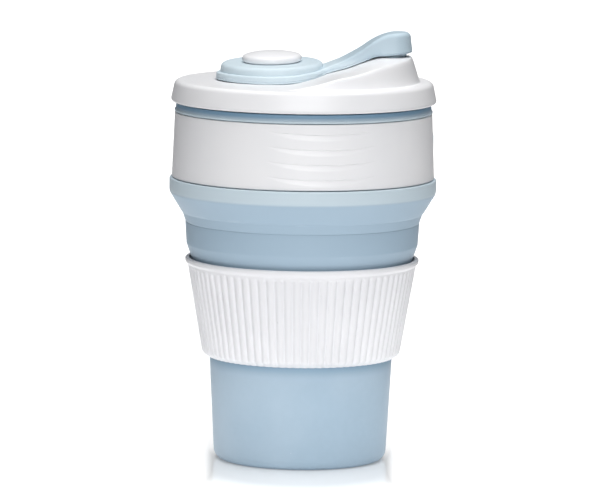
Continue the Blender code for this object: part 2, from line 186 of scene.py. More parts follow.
# Studio floor, in metres: each pair is where a change starts and where it ends
FLOOR_FRONT = (-0.22, -0.11)    # y over which the floor turns from dim to pale
FLOOR_SIDE = (0.107, 0.24)      # x to either side over which it turns dim again
FLOOR_WIDENING = 0.06           # how much wider the pale part is, per metre behind the cup
GLOW_SCALE = (1.25, 1.0, 1.0)   # the glow round the foot is an oval
GLOW_SHIFT = (0.0, 0.02, 0.0)
GLOW_NEAR = (0.036, 0.060)      # distance over which the glow comes in
GLOW_LEVELS = (0.15, 0.52)      # its strength under the foot and around it
GLOW_BESIDE = (0.0285, 0.034)   # x to either side of the foot over which it comes in sooner
GLOW_BESIDE_LEVEL = 0.62
GLOW_FADE = (0.06, 0.13)        # distance over which it weakens
GLOW_FADE_LEVEL = 0.6
FAR_FLOOR = (0.0, 1.2)          # y over which the floor brightens towards the back
FAR_LEVELS = (0.26, 0.57)
FAR_START = (0.05, 0.14)        # distance over which that light comes in
DIM_GLOW = 0.05                 # share of the light left on the dim floor

# Studio sky
SKY_BAND = (sin(radians(12)), sin(radians(26)))  # upper edge of the bright band
SKY_TOP = 0.4                   # strength above the band
SKY_BACK = (0.2, 0.9)           # how far a direction points back, where the band brightens
SKY_LEVELS = (0.12, 1.2)        # strength of the band, in front and behind

MERGE = 0.000002                # points closer than this become one, in metres
SLIVER = 0.0000002              # edges shorter than this are dissolved, in metres
HEIGHT = "height"               # name of the mesh's own record of its heights


# ---------------------------------------------------------------- mesh helpers

def linked(name, data):
    obj = bpy.data.objects.new(name, data)
    bpy.context.scene.collection.objects.link(obj)
    return obj


def new_object(name, verts, faces):
    """A closed mesh with its faces pointing out. verts are in metres."""
    mesh = bpy.data.meshes.new(name)
    mesh.from_pydata(verts, [], faces)
    bm = bmesh.new()
    bm.from_mesh(mesh)
    bmesh.ops.remove_doubles(bm, verts=bm.verts, dist=MERGE)
    bmesh.ops.recalc_face_normals(bm, faces=bm.faces)
    if bm.calc_volume(signed=True) < 0:
        bmesh.ops.reverse_faces(bm, faces=bm.faces)
    bm.to_mesh(mesh)
    bm.free()
    return linked(name, mesh)


def lofted(name, rows, close_rows=False):
    """A surface through rows of points, in mm. Each row is a closed ring, and the last row may
    join the first."""
    rows = np.asarray(rows, float)
    count, around, _ = rows.shape
    index = np.arange(count * around).reshape(count, around)
    last = count if close_rows else count - 1
    low = index[np.arange(last)]
    high = index[(np.arange(last) + 1) % count]
    quads = np.stack([low, np.roll(low, -1, 1), np.roll(high, -1, 1), high], axis=-1)
    return new_object(name, (rows.reshape(-1, 3) * MM).tolist(), quads.reshape(-1, 4).tolist())


def rounded(corners, step=None, closed=False):
    """A profile through (radius, height, rounding) corners, with arcs at the rounded ones.
    Straight stretches are cut into pieces no longer than step."""
    points = []
    count = len(corners)
    for i, (x, z, fillet) in enumerate(corners):
        here = Vector((x, z))
        ends = not closed and i in (0, count - 1)
        if ends or fillet <= 0:
            points.append(here)
            continue
        before = Vector(corners[i - 1][:2]) - here
        after = Vector(corners[(i + 1) % count][:2]) - here
        turn = before.angle(after)
        if turn > radians(179):
            points.append(here)
            continue
        reach = min(fillet / tan(turn / 2), before.length * 0.49, after.length * 0.49)
        radius = reach * tan(turn / 2)
        inward = (before.normalized() + after.normalized()).normalized()
        middle = here + inward * (radius / sin(turn / 2))
        first = here + before.normalized() * reach - middle
        sweep = first.angle_signed(here + after.normalized() * reach - middle)
        pieces = max(2, ceil(abs(sweep) / radians(12)))
        for k in range(pieces + 1):
            points.append(middle + first @ Matrix.Rotation(sweep * k / pieces, 2))
    if step is None:
        return [tuple(p) for p in points]
    fine = []
    followers = points[1:] + points[:1] if closed else points[1:]
    for a, b in zip(points, followers):
        pieces = max(1, ceil((b - a).length / step))
        fine += [tuple(a.lerp(b, k / pieces)) for k in range(pieces)]
    return fine if closed else fine + [tuple(points[-1])]


def angles(count):
    return np.arange(count) * 2 * pi / count


def spin(profile, count=256, centre_x=0.0):
    """Rows of points: the profile turned about a vertical axis."""
    profile = np.asarray(profile, float)
    around = angles(count)
    rows = np.empty((len(profile), count, 3))
    rows[..., 0] = centre_x + profile[:, :1] * np.cos(around)
    rows[..., 1] = profile[:, :1] * np.sin(around)
    rows[..., 2] = profile[:, 1:2]
    return rows


def turned(name, corners, step=None, count=256, centre_x=0.0, closed=True):
    """A body turned from a profile of corners."""
    profile = rounded(corners, step, closed)
    return lofted(name, spin(profile, count, centre_x), close_rows=closed)


def boolean(obj, operation, *others):
    """Join or cut with other objects, then drop them. Every mesh given is closed, and with the
    manifold solver the result is closed too and is the same on every run."""
    for other in others:
        mod = obj.modifiers.new(operation, 'BOOLEAN')
        mod.operation = operation
        mod.object = other
        mod.solver = 'MANIFOLD'
    bpy.context.view_layer.update()
    evaluated = obj.evaluated_get(bpy.context.evaluated_depsgraph_get())
    result = bpy.data.meshes.new_from_object(evaluated)
    obj.modifiers.clear()
    obj.data = result
    for other in others:
        bpy.data.objects.remove(other, do_unlink=True)
    return obj


def tidied(obj):
    """Drop the zero-area faces that a Boolean leaves behind."""
    bm = bmesh.new()
    bm.from_mesh(obj.data)
    bmesh.ops.dissolve_degenerate(bm, edges=bm.edges, dist=SLIVER)
    bm.to_mesh(obj.data)
    bm.free()
    return obj


def smooth(obj, angle=32):
    """Smooth shading, with edges sharper than angle, in degrees, left crisp."""
    obj.data.shade_smooth()
    obj.data.set_sharp_from_angle(angle=radians(angle))
    return obj


def smooth_step(t):
    t = np.clip(t, 0.0, 1.0)
    return t * t * (3 - 2 * t)


def between(x, start, end):
    """0 at start and 1 at end, with an eased change from one to the other."""
    return smooth_step((x - start) / (end - start))


def carve(rows, depth, outside):
    """Move the points of the outside rows in towards the axis by depth. The rows inside stay."""
    radius = np.hypot(rows[..., 0], rows[..., 1])
    depth[outside:] = 0
    rows[..., :2] *= ((radius - depth) / radius)[..., None]


def curve_through(points):
    """A smooth function of x through (x, z) points, with slopes taken from the neighbours."""
    xs, zs = np.array(points, float).T
    slopes = np.gradient(zs, xs)

    def value(x):
        x = np.clip(x, xs[0], xs[-1])
        i = np.clip(np.searchsorted(xs, x) - 1, 0, len(xs) - 2)
        span = xs[i + 1] - xs[i]
        t = (x - xs[i]) / span
        return ((2 * t ** 3 - 3 * t ** 2 + 1) * zs[i] + (t ** 3 - 2 * t ** 2 + t) * span * slopes[i]
                + (3 * t ** 2 - 2 * t ** 3) * zs[i + 1] + (t ** 3 - t ** 2) * span * slopes[i + 1])

    return value


def smooth_min(a, b, k):
    """The smaller of a and b, rounded over where they differ by less than k."""
    h = np.maximum(k - np.abs(a - b), 0.0) / k
    return np.minimum(a, b) - h * h * k / 4


def smooth_max(a, b, k):
    return -smooth_min(-a, -b, k)


# ---------------------------------------------------------------- silicone cup

def make_cup_lower():
    """Lower cup, the lowest fold wall and the lower half of the lower ring."""
    recess, depth = FOOT_RECESS
    knee_radius, knee = KNEE
    corners = [(0.0, depth, 0), (recess, depth, 0.3), (recess + 1.0, 0.0, 0.5),
               (BASE_RADIUS, 0.0, BASE_ROUND), (knee_radius, knee, 30.0),
               (LOWER_RADIUS, LOWER_TOP, 1.2), (RING_LOWER_RADIUS - 0.3, RING_LOWER_LOW, 0.8),
               (RING_LOWER_RADIUS - 0.15, CUT_LOWER, 0),
               (RING_LOWER_RADIUS - 0.15 - WALL, CUT_LOWER, 0),
               (RING_LOWER_RADIUS - 0.3 - WALL, RING_LOWER_LOW, 0.8),
               (LOWER_RADIUS - WALL, LOWER_TOP, 1.2), (knee_radius - WALL, knee, 30.0),
               (BASE_RADIUS - WALL, FLOOR, 3.0), (0.0, FLOOR, 0)]
    return turned("cup_lower", corners, step=0.7, closed=False)


def make_cup_middle():
    """Upper half of the lower ring, the middle fold wall and the middle ring."""
    foot = RING_FOOT_RADIUS
    corners = [(RING_LOWER_RADIUS - 0.15, CUT_LOWER, 0), (RING_LOWER_RADIUS, RING_LOWER_TOP, 1.0),
               (foot, RING_MIDDLE_LOW, 0.9), (RING_MIDDLE_RADIUS, RING_MIDDLE_TOP, 0.08),
               (RING_MIDDLE_RADIUS - WALL, RING_MIDDLE_TOP, 0), (foot - WALL, RING_MIDDLE_LOW, 0.9),
               (RING_LOWER_RADIUS - WALL, RING_LOWER_TOP, 1.0),
               (RING_LOWER_RADIUS - 0.15 - WALL, CUT_LOWER, 0)]
    return turned("cup_middle", corners, step=0.6)


def make_cup_upper():
    """Upper fold wall with its small step, the rim bead, the neck inside the collar and the flange
    above it."""
    step_radius, step_height = STEP
    start = RING_MIDDLE_RADIUS
    seat = COLLAR_RADIUS - COLLAR_WALL - 0.3
    neck = COLLAR_TOP_RADIUS - COLLAR_WALL - 0.3
    lip = COLLAR_TOP_RADIUS + 0.1
    corners = [(start - 0.1, RING_MIDDLE_TOP, 0.08),
               (step_radius - 0.05, step_height - 0.15, 0.2),
               (step_radius + 0.3, step_height + 0.15, 0.25),
               (RIM_RADIUS - 0.25, RIM_LOW - 0.2, 1.0), (RIM_RADIUS, RIM_LOW + 0.8, 1.0),
               (RIM_RADIUS, RIM_SEAT, 0.45), (seat, RIM_SEAT, 0.2), (neck, FLANGE_LOW, 0.1),
               (lip, FLANGE_LOW, 0.15), (lip, FLANGE_LOW + 0.55, 0.25),
               (lip - 0.4, FLANGE_LOW + 1.1, 0.8), (lip - 0.5, RIM_TOP, 0.5),
               (RIM_BORE, RIM_TOP, 0.4), (RIM_BORE, RIM_LOW + 4.2, 2.0),
               (RIM_RADIUS - 0.25 - FOLD_WALL, RIM_LOW - 0.2, 1.5),
               (step_radius - FOLD_WALL, step_height, 1.0), (start - WALL, RING_MIDDLE_TOP, 0)]
    return turned("cup_upper", corners, step=0.5)


# ---------------------------------------------------------------- collar and badge

def groove_depth(theta, z):
    """Depth of the finger grooves: each is a lens with a crisp upper edge and a soft lower one."""
    total = np.zeros(np.broadcast(theta, z).shape)
    for middle in (-pi / 2, pi / 2):
        turn = np.abs((theta - COLLAR_TURN - middle + pi) % (2 * pi) - pi) / GROOVE_HALF_ANGLE
        lens = np.clip(1 - turn ** 2, 0, 1)
        for height in GROOVES:
            tall = GROOVE_HEIGHT * lens ** 0.6 + 1e-6
            down = (height + GROOVE_SAG * (1 - lens) - z) / tall
            rise = smooth_step(down / 0.2)
            fall = np.clip(1 - down, 0, 1) ** 1.15
            inside = (down > 0) & (down < 1)
            total += np.where(inside, rise * fall * lens, 0.0) * GROOVE_DEPTH
    return total


def make_collar():
    """Collar with its grooves and the badge's window."""
    low, high = COLLAR_LOW, COLLAR_TOP
    outside = rounded([(COLLAR_TOP_RADIUS - 1.0, high, 0), (COLLAR_TOP_RADIUS, high, 0.45),
                       (COLLAR_RADIUS, low, 0.4), (COLLAR_RADIUS - 1.0, low, 0)], step=0.12)
    inside = [(COLLAR_RADIUS - COLLAR_WALL, low + 0.3),
              (COLLAR_TOP_RADIUS - COLLAR_WALL, high - 0.3)]
    rows = spin(outside + inside, 480)
    theta = np.arctan2(rows[..., 1], rows[..., 0])
    carve(rows, groove_depth(theta, rows[..., 2]), len(outside))
    collar = lofted("collar_shell", rows, close_rows=True)
    width, height = BADGE_SIZE
    window = pad("badge_window", width + 2 * BADGE_GAP, height + 2 * BADGE_GAP, 40.0, 50.0, 0.0)
    return smooth(boolean(collar, 'DIFFERENCE', window), 30)


def pad(name, width, height, back, front, edge):
    """A block with a rounded outline that faces out of the collar at the badge's place.
    edge is the rounding of its front."""
    corner = min(width, height) * 0.3
    outline = []
    for cx, cz, start in ((1, 1, 0), (-1, 1, 90), (-1, -1, 180), (1, -1, 270)):
        for k in range(9):
            a = radians(start + 90 * k / 8)
            outline.append((cx * (width / 2 - corner) + corner * cos(a),
                            cz * (height / 2 - corner) + corner * sin(a)))
    outline = np.array(outline)
    centre = np.zeros_like(outline)
    rows = []
    for inset, depth in [(None, back), (0.0, back)] + front_edge(front, edge) + [(None, front)]:
        shape = centre if inset is None else outline * (1 - inset / (np.abs(outline).max(0)))
        rows.append(np.column_stack([np.full(len(shape), depth), shape]))
    rows = np.array(rows)
    turn = COLLAR_TURN
    x, y, z = rows[..., 0], rows[..., 1], rows[..., 2]
    placed = np.stack([x * cos(turn) - y * sin(turn), x * sin(turn) + y * cos(turn),
                       z + BADGE_HEIGHT], axis=-1)
    return lofted(name, placed)


def front_edge(front, edge):
    """(inset, depth) steps round the pad's front edge."""
    if edge == 0:
        return [(0.0, front)]
    arc = [radians(90 * k / 6) for k in range(7)]
    return [(edge * (1 - cos(a)), front - edge + edge * sin(a)) for a in arc]


def make_badge():
    """A blank soft badge in the collar's window."""
    back = COLLAR_RADIUS - COLLAR_WALL - 0.1
    front = COLLAR_RADIUS - 0.45 + BADGE_PROUD
    return smooth(pad("badge_pad", *BADGE_SIZE, back, front, 0.35), 40)


# ---------------------------------------------------------------- sleeve

def make_sleeve():
    """Ribbed grip: a flared lip, a smooth band, grooves with rounded tops, and a rounded foot."""
    low, high = SLEEVE_LOW, SLEEVE_TOP
    r_low, r_high = SLEEVE_RADII
    outside = rounded([(SLEEVE_RADIUS - 1.4, high, 0), (SLEEVE_RADIUS, high, 0.6),
                       (SLEEVE_RADIUS - 0.15, high - 1.4, 0.5), (r_high, high - 2.4, 0.8),
                       (r_low, low + 1.4, 2.2), (r_low - 2.0, low, 0.7),
                       (SLEEVE_BORE, low, 0)], step=0.45)
    inside = rounded([(SLEEVE_BORE, low + 1.2, 0), (r_low - SLEEVE_WALL, low + 2.4, 0.6),
                      (r_high - SLEEVE_WALL, high - 2.9, 1.0),
                      (SLEEVE_RADIUS - 1.4, high - 0.4, 0)], step=4.0)
    rows = spin(outside + inside, RIBS * 12)
    theta = np.arctan2(rows[..., 1], rows[..., 0])
    valley = 0.5 - 0.5 * np.cos(theta * RIBS)
    band = high - SLEEVE_BAND + 0.5 * valley
    reach = (smooth_step((band - rows[..., 2]) / 0.9)
             * smooth_step((rows[..., 2] - low + 0.6) / 0.8))
    carve(rows, RIB_DEPTH * valley ** 2.2 * reach, len(outside))
    return smooth(lofted("sleeve_shell", rows, close_rows=True), 50)


# ---------------------------------------------------------------- lid

ramp_height = curve_through(RAMP)


def lid_surface(x, y, inset):
    """Height of the lid's top, or of its underside with inset: deck, crowned ramp and the
    platform's side."""
    radius = np.hypot(x, y)
    ramp = ramp_height(x) - CROWN * between(x, *CROWN_START) * y * y - inset
    slope = (SPOUT_TOP - DECK) / (PLATFORM_RADII[0] - PLATFORM_RADII[1])
    side = DECK - inset + (PLATFORM_RADII[0] - inset - radius) * slope
    raised = smooth_min(ramp, side, 2.0)
    return smooth_max(raised, DECK - inset, 0.7)


def lid_rows(inset, around):
    """Rings from the stem's hole over the pocket, its wall, the ramp and the platform's side, out
    to the deck."""
    pocket = FLANGE_RADIUS + POCKET_CLEARANCE + inset
    outer = PLATFORM_RADII[0] - inset

    def ring(centre_x, radius):
        return centre_x + radius * np.cos(around), radius * np.sin(around)

    def floor(x):
        return np.maximum(DECK - POCKET_DEPTH, ramp_height(x) - POCKET_IN_RAMP) - inset

    rows = []
    for radius in np.linspace(STRAP_BORE, pocket, 22):
        x, y = ring(STRAP_X, radius)
        rows.append((x, y, floor(x)))
    x, y = ring(STRAP_X, pocket)
    lip = np.minimum(0.3, (lid_surface(x, y, inset) - floor(x)) / 2)
    for turn in np.linspace(0, pi / 2, 7):
        x, y = ring(STRAP_X, pocket + lip * (1 - cos(turn)))
        rows.append((x, y, lid_surface(x, y, inset) - lip * (1 - sin(turn))))
    start = pocket + 0.5
    inner = outer - 6.0
    for t in np.linspace(0.02, 1, 36):
        x, y = ring(STRAP_X * (1 - t), start + (inner - start) * t)
        rows.append((x, y, lid_surface(x, y, inset)))
    for radius in np.linspace(inner, outer + 1.0, 62)[1:]:
        x, y = ring(0.0, radius)
        rows.append((x, y, lid_surface(x, y, inset)))
    return [np.stack(row, axis=-1) for row in rows]


def make_lid():
    """Lid: its top, a skirt over the rim, the ring that plugs the cup, and the spout's hole."""
    around = angles(360)
    plug, wall = PLUG_RING
    bore = plug - wall
    skirt = rounded([(PLATFORM_RADII[0] + 1.2, DECK, 0), (LID_TOP_RADIUS, DECK, LID_ROUND),
                     (LID_RADIUS + 0.3, LID_EDGE + 0.8, 0.9), (LID_RADIUS - 0.1, LID_EDGE, 0.5),
                     (LID_RADIUS - 1.9, LID_EDGE, 0.4), (LID_RADIUS - 2.0, LID_EDGE + 0.5, 0.3),
                     (plug, LID_EDGE + 0.5, 0.3), (plug, PLUG_LOW + 3.0, 2.0),
                     (plug, PLUG_LOW, 0.6), (bore, PLUG_LOW, 0.4), (bore, DECK - SHEET, 0.6),
                     (bore - 0.3, DECK - SHEET, 0)], step=1.2)
    top = lid_rows(0.0, around)
    under = lid_rows(SHEET, around)[::-1]
    lid = lofted("lid_shell", top + list(spin(skirt, len(around))) + under, close_rows=True)
    hole = [(0.0, SPOUT_TOP + 3.0, 0), (SPOUT_BORE + 3.6, SPOUT_TOP + 3.0, 0),
            (SPOUT_BORE + 0.6, SPOUT_TOP, 0), (SPOUT_BORE, SPOUT_TOP - 0.8, 0.6),
            (SPOUT_BORE, SPOUT_TOP - 5.0, 0), (0.0, SPOUT_TOP - 5.0, 0)]
    cutter = turned("spout_cutter", hole, count=96, centre_x=SPOUT_X, closed=False)
    return smooth(tidied(boolean(lid, 'DIFFERENCE', cutter)), 34)


# ---------------------------------------------------------------- strap, button, washer

def plan_arc(centre_x, centre_y, radius, start, end, count):
    """Points on an arc, seen from above."""
    turn = np.linspace(start, end, count)
    return np.column_stack([centre_x + radius * np.cos(turn), centre_y + radius * np.sin(turn)])


def strap_outline():
    """Plan of the strap, the direction out of it at each point, and the x of its end's centre:
    a round ring, a flare into the arm, straight sides and a half round end."""
    tip_x = CAP_END - ARM_HALF_WIDTH
    across = ARM_HALF_WIDTH + STRAP_FLARE
    meets = asin(across / (FLANGE_RADIUS + STRAP_FLARE))
    flare_x = STRAP_X + (FLANGE_RADIUS + STRAP_FLARE) * cos(meets)
    along = np.linspace(flare_x, tip_x, 90)[1:]
    plan = np.vstack([
        plan_arc(STRAP_X, 0, FLANGE_RADIUS, pi, meets, 90),
        plan_arc(flare_x, across, STRAP_FLARE, meets + pi, 1.5 * pi, 14)[1:],
        np.column_stack([along, np.full_like(along, ARM_HALF_WIDTH)]),
        plan_arc(tip_x, 0, ARM_HALF_WIDTH, pi / 2, 0, 21)[1:]])
    plan = np.vstack([plan, plan[-2:0:-1] * (1, -1)])
    along_edge = np.roll(plan, -1, 0) - np.roll(plan, 1, 0)
    out = np.column_stack([-along_edge[:, 1], along_edge[:, 0]])
    return plan, out / np.linalg.norm(out, axis=1)[:, None], tip_x


def make_sheet():
    """The strap's sheet: an undercut lower edge, a seam above it, nearly upright sides, a rounded
    shoulder, and a top that is flat on the ring and crowned on the arm."""
    outline, out, tip_x = strap_outline()
    top, under = curve_through(SHEET_TOP), curve_through(SHEET_UNDER)
    x0 = outline[:, 0]
    on_arm, on_cap = between(x0, *ARM_START), between(x0, *CAP_START)
    shoulder = SHOULDERS[0] + SHOULDERS[1] * on_arm + SHOULDERS[2] * on_cap
    lean = LEANS[0] + LEANS[1] * on_cap
    band = SEAM_HEIGHTS[0] - SEAM_HEIGHTS[1] * between(x0, *SEAM_DROP)
    spine = np.column_stack([np.clip(x0, STRAP_X, tip_x), np.zeros(len(x0))])

    def crest(plan):
        """Height of the top over a plan point."""
        x, y = plan.T
        crown = CROWN_RISE * between(x, *CROWN_X)
        twist = STRAP_TWIST * between(x, *TWIST_IN) * between(x, *TWIST_OUT)
        return top(x) + twist * y - crown * (y / ARM_HALF_WIDTH) ** 2

    def layer(inset, share, offset):
        """The outline moved in by inset, at a share of the way from the underside up to the
        shoulder."""
        plan = outline - out * np.broadcast_to(inset, x0.shape)[:, None]
        low = under(plan[:, 0])
        return np.column_stack([plan, low + (crest(plan) - shoulder - low) * share + offset])

    undercut = [(1.5, -0.1), (0.4, 0.2), (0.12, 0.27), (0.0, 0.4)]
    seam = [(0.0, -0.12), (0.05, -0.03), (0.16, 0.03), (0.16, 0.12), (0.05, 0.2), (0.0, 0.32)]
    rows = [layer(inset, 0, offset) for inset, offset in undercut]
    rows += [layer(inset, 0, band + offset) for inset, offset in seam]
    for share in (0.6, 0.8, 1.0):
        rows.append(layer(lean * share, share, 0.0))
    for turn in np.linspace(0, pi / 2, 9)[1:]:
        rows.append(layer(lean + shoulder * (1 - cos(turn)), 1, shoulder * sin(turn)))
    first, last = rows[0], rows[-1]
    for share in (0.15, 0.35, 0.6, 0.8, 1.0):
        plan = last[:, :2] * (1 - share) + spine * share
        rows.append(np.column_stack([plan, crest(plan)]))
    for share in (0.3, 0.65, 1.0):
        plan = first[:, :2] * (1 - share) + spine * share
        rows.insert(0, np.column_stack([plan, under(plan[:, 0])]))
    return lofted("strap", rows)


def tipped(obj):
    """Lean a piece on the ring: sideways by the strap's slope, and up towards the arm."""
    lean = Matrix.Identity(4)
    lean[2][0] = DISC_RISE
    lean[2][1] = STRAP_TWIST
    lean[2][3] = -DISC_RISE * STRAP_X * MM
    obj.data.transform(lean)
    return obj


def make_strap():
    """Sheet, thick disc on its ring, plug under its cap: one soft moulding with a hole for the
    stem."""
    disc = turned("strap_disc", [
        (0.0, STRAP_LOW + 2.0, 0), (DISC_RADIUS, STRAP_LOW + 2.0, 0),
        (DISC_RADIUS + 0.1, DISC_TOP - 2.8, 1.5), (DISC_RADIUS - 0.25, DISC_TOP, 1.7),
        (0.0, DISC_TOP, 0)], step=1.0, centre_x=STRAP_X, closed=False)
    neck_radius, neck_low = NECK
    plug = turned("strap_plug", [
        (0.0, neck_low + 4.0, 0), (neck_radius, neck_low + 4.0, 0), (neck_radius, neck_low, 0.5),
        (PIN_RADII[0], neck_low, 0.2), (PIN_RADII[0] + 0.25, neck_low - 3.2, 0.6),
        (PIN_RADII[1], PIN_LOW, 0.7), (0.0, PIN_LOW, 0)],
        step=0.8, count=96, centre_x=SPOUT_X, closed=False)
    bore = turned("strap_bore", [
        (0.0, STRAP_LOW - 1.0, 0), (STRAP_BORE, STRAP_LOW - 1.0, 0),
        (STRAP_BORE, DISC_TOP + 1.0, 0),
        (0.0, DISC_TOP + 1.0, 0)], count=64, centre_x=STRAP_X, closed=False)
    strap = boolean(make_sheet(), 'UNION', tipped(disc), plug)
    return smooth(tidied(boolean(strap, 'DIFFERENCE', bore)), 30)


def make_button():
    """Domed button with a soft edge, on the stem that goes through the strap and the lid."""
    under = DISC_TOP + BUTTON_GAP
    reach, drop = DOME
    dome = [(r, BUTTON_TOP - drop * (r / reach) ** 2, 0) for r in np.linspace(0, reach, 14)]
    corners = dome + [(BUTTON_RADIUS + 0.05, BUTTON_TOP - 1.45, 1.5),
                      (BUTTON_RADIUS - 0.1, under, 0.8), (BUTTON_STEM, under, 0.2),
                      (BUTTON_STEM, STEM_LOW, 0.4), (0.0, STEM_LOW, 0)]
    button = turned("button_dome", corners, step=0.8, count=160, centre_x=STRAP_X, closed=False)
    return smooth(tipped(button), 40)


def make_washer():
    """Retainer on the stem, under the lid."""
    radius, thickness = WASHER
    top = DECK - SHEET - 0.3
    bore = BUTTON_STEM + 0.3
    corners = [(bore, top, 0.15), (radius, top, 0.3), (radius, top - thickness, 0.5),
               (bore, top - thickness, 0.15)]
    return smooth(turned("button_washer", corners, step=1.0, count=96, centre_x=STRAP_X), 40)


# ---------------------------------------------------------------- materials

class Nodes:
    """A small builder for one material's node tree."""

    def __init__(self, name):
        self.material = bpy.data.materials.new(name)
        self.material.use_nodes = True
        self.tree = self.material.node_tree
        self.shader = self.tree.nodes["Principled BSDF"]
        self.place = self.add('ShaderNodeTexCoord').outputs["Object"]

    def add(self, kind, **settings):
        node = self.tree.nodes.new(kind)
        for key, value in settings.items():
            setattr(node, key, value)
        return node

    def link(self, source, target):
        self.tree.links.new(source, target)

    def noise(self, scale, detail=2.0, roughness=0.5):
        node = self.add('ShaderNodeTexNoise')
        node.inputs["Scale"].default_value = scale
        node.inputs["Detail"].default_value = detail
        node.inputs["Roughness"].default_value = roughness
        self.link(self.place, node.inputs["Vector"])
        return node.outputs["Fac"]

    def remap(self, value, low, high, to_low, to_high, curve='LINEAR'):
        node = self.add('ShaderNodeMapRange', interpolation_type=curve)
        self.link(value, node.inputs["Value"])
        sockets = ("From Min", "From Max", "To Min", "To Max")
        for socket, number in zip(sockets, (low, high, to_low, to_high)):
            node.inputs[socket].default_value = number
        return node.outputs["Result"]

    def math(self, operation, a, b):
        node = self.add('ShaderNodeMath', operation=operation)
        for socket, value in zip(node.inputs, (a, b)):
            if isinstance(value, (int, float)):
                socket.default_value = value
            else:
                self.link(value, socket)
        return node.outputs["Value"]

    def mix(self, factor, a, b):
        """Colour a to colour b. Each is a socket or three numbers."""
        node = self.add('ShaderNodeMix', data_type='RGBA')
        self.link(factor, node.inputs["Factor"])
        for socket, value in ((node.inputs[6], a), (node.inputs[7], b)):
            if isinstance(value, tuple):
                socket.default_value = (*value, 1.0)
            else:
                self.link(value, socket)
        return node.outputs[2]

    def bump(self, height, distance, strength=1.0, before=None):
        node = self.add('ShaderNodeBump')
        node.inputs["Strength"].default_value = strength
        node.inputs["Distance"].default_value = distance
        self.link(height, node.inputs["Height"])
        if before:
            self.link(before, node.inputs["Normal"])
        return node.outputs["Normal"]


def scaled(colour, factor):
    return tuple(min(1.0, c * factor) for c in colour)


def specks(nodes, scale, share, radius):
    """A mask of sparse round specks: 1 in a speck, 0 elsewhere."""
    cells = nodes.add('ShaderNodeTexVoronoi')
    cells.inputs["Scale"].default_value = scale
    nodes.link(nodes.place, cells.inputs["Vector"])
    near = nodes.remap(cells.outputs["Distance"], radius * 0.6, radius, 1.0, 0.0)
    pick = nodes.add('ShaderNodeSeparateColor')
    nodes.link(cells.outputs["Color"], pick.inputs["Color"])
    chosen = nodes.math('LESS_THAN', pick.outputs["Red"], share)
    return nodes.math('MULTIPLY', near, chosen)


def toned(nodes, base, tones):
    """Base with further colours coming in over the heights kept in the mesh: each tone is
    (colour, start, end, share), in mm."""
    height = nodes.add('ShaderNodeAttribute', attribute_name=HEIGHT).outputs["Fac"]
    for colour, start, end, share in tones:
        rise = nodes.remap(height, start * MM, end * MM, 0.0, share, 'SMOOTHSTEP')
        base = nodes.mix(rise, base, colour)
    return base


def soft_silicone(name, colour, shade, roughness=0.52, tones=()):
    """Matt moulded silicone: cloudy colour, fine grain, rubbed edges, a little dust, soft sheen."""
    n = Nodes(name)
    cloud = n.remap(n.noise(26.0, 3.0), 0.35, 0.65, 0.0, 1.0, 'SMOOTHSTEP')
    base = n.mix(cloud, colour, shade)
    mottle = n.remap(n.noise(420.0, 2.0), 0.4, 0.7, 0.0, 0.10)
    base = n.mix(mottle, base, scaled(colour, 1.12))
    geometry = n.add('ShaderNodeNewGeometry')
    edge = n.remap(geometry.outputs["Pointiness"], 0.53, 0.66, 0.0, 0.15, 'SMOOTHSTEP')
    base = toned(n, base, tones)
    base = n.mix(edge, base, tuple(c + (0.9 - c) * 0.35 for c in colour))
    dust = n.math('MULTIPLY', specks(n, 330.0, 0.02, 0.08), 0.25)
    base = n.mix(dust, base, DUST)
    n.link(base, n.shader.inputs["Base Color"])
    fine = n.noise(2400.0, 3.0, 0.6)
    rough = n.remap(n.math('ADD', n.math('MULTIPLY', fine, 0.5), n.math('MULTIPLY', cloud, 0.5)),
                    0.2, 0.8, roughness - 0.05, roughness + 0.07)
    n.link(rough, n.shader.inputs["Roughness"])
    grain = n.bump(fine, 0.00002, 0.5)
    wave = n.bump(n.noise(95.0, 1.0), 0.00012, 0.35, before=grain)
    n.link(wave, n.shader.inputs["Normal"])
    n.shader.inputs["Specular IOR Level"].default_value = 0.5
    n.shader.inputs["Sheen Weight"].default_value = 0.03
    n.shader.inputs["Sheen Roughness"].default_value = 0.45
    return n.material


def moulded_plastic(name, colour, shade, roughness=0.36, waves=0.3):
    """Satin polypropylene: faint clouding, brighter edges, painted shade in the hollows, a few
    marks, and a gloss that is rubbed here and there."""
    n = Nodes(name)
    cloud = n.remap(n.noise(34.0, 3.0), 0.35, 0.65, 0.0, 1.0, 'SMOOTHSTEP')
    base = n.mix(cloud, colour, shade)
    geometry = n.add('ShaderNodeNewGeometry')
    edge = n.remap(geometry.outputs["Pointiness"], 0.53, 0.66, 0.0, 0.3, 'SMOOTHSTEP')
    base = n.mix(edge, base, scaled(colour, 1.04))
    # Painted shade in the hollows
    hollow_shade = n.remap(geometry.outputs["Pointiness"], 0.38, 0.48, 0.14, 0.0, 'SMOOTHSTEP')
    base = n.mix(hollow_shade, base, scaled(shade, 0.88))
    mark = n.math('MULTIPLY', specks(n, 240.0, 0.02, 0.10), 0.35)
    base = n.mix(mark, base, scaled(shade, 0.7))
    n.link(base, n.shader.inputs["Base Color"])
    fine = n.noise(3000.0, 3.0, 0.6)
    rub = n.noise(160.0, 4.0, 0.65)
    rough = n.remap(n.math('ADD', n.math('MULTIPLY', fine, 0.4), n.math('MULTIPLY', rub, 0.6)),
                    0.25, 0.75, roughness - 0.06, roughness + 0.08)
    n.link(rough, n.shader.inputs["Roughness"])
    grain = n.bump(fine, 0.000012, 0.4)
    n.link(n.bump(n.noise(140.0, 1.0), 0.00006, waves, before=grain), n.shader.inputs["Normal"])
    n.shader.inputs["Specular IOR Level"].default_value = 0.5
    return n.material


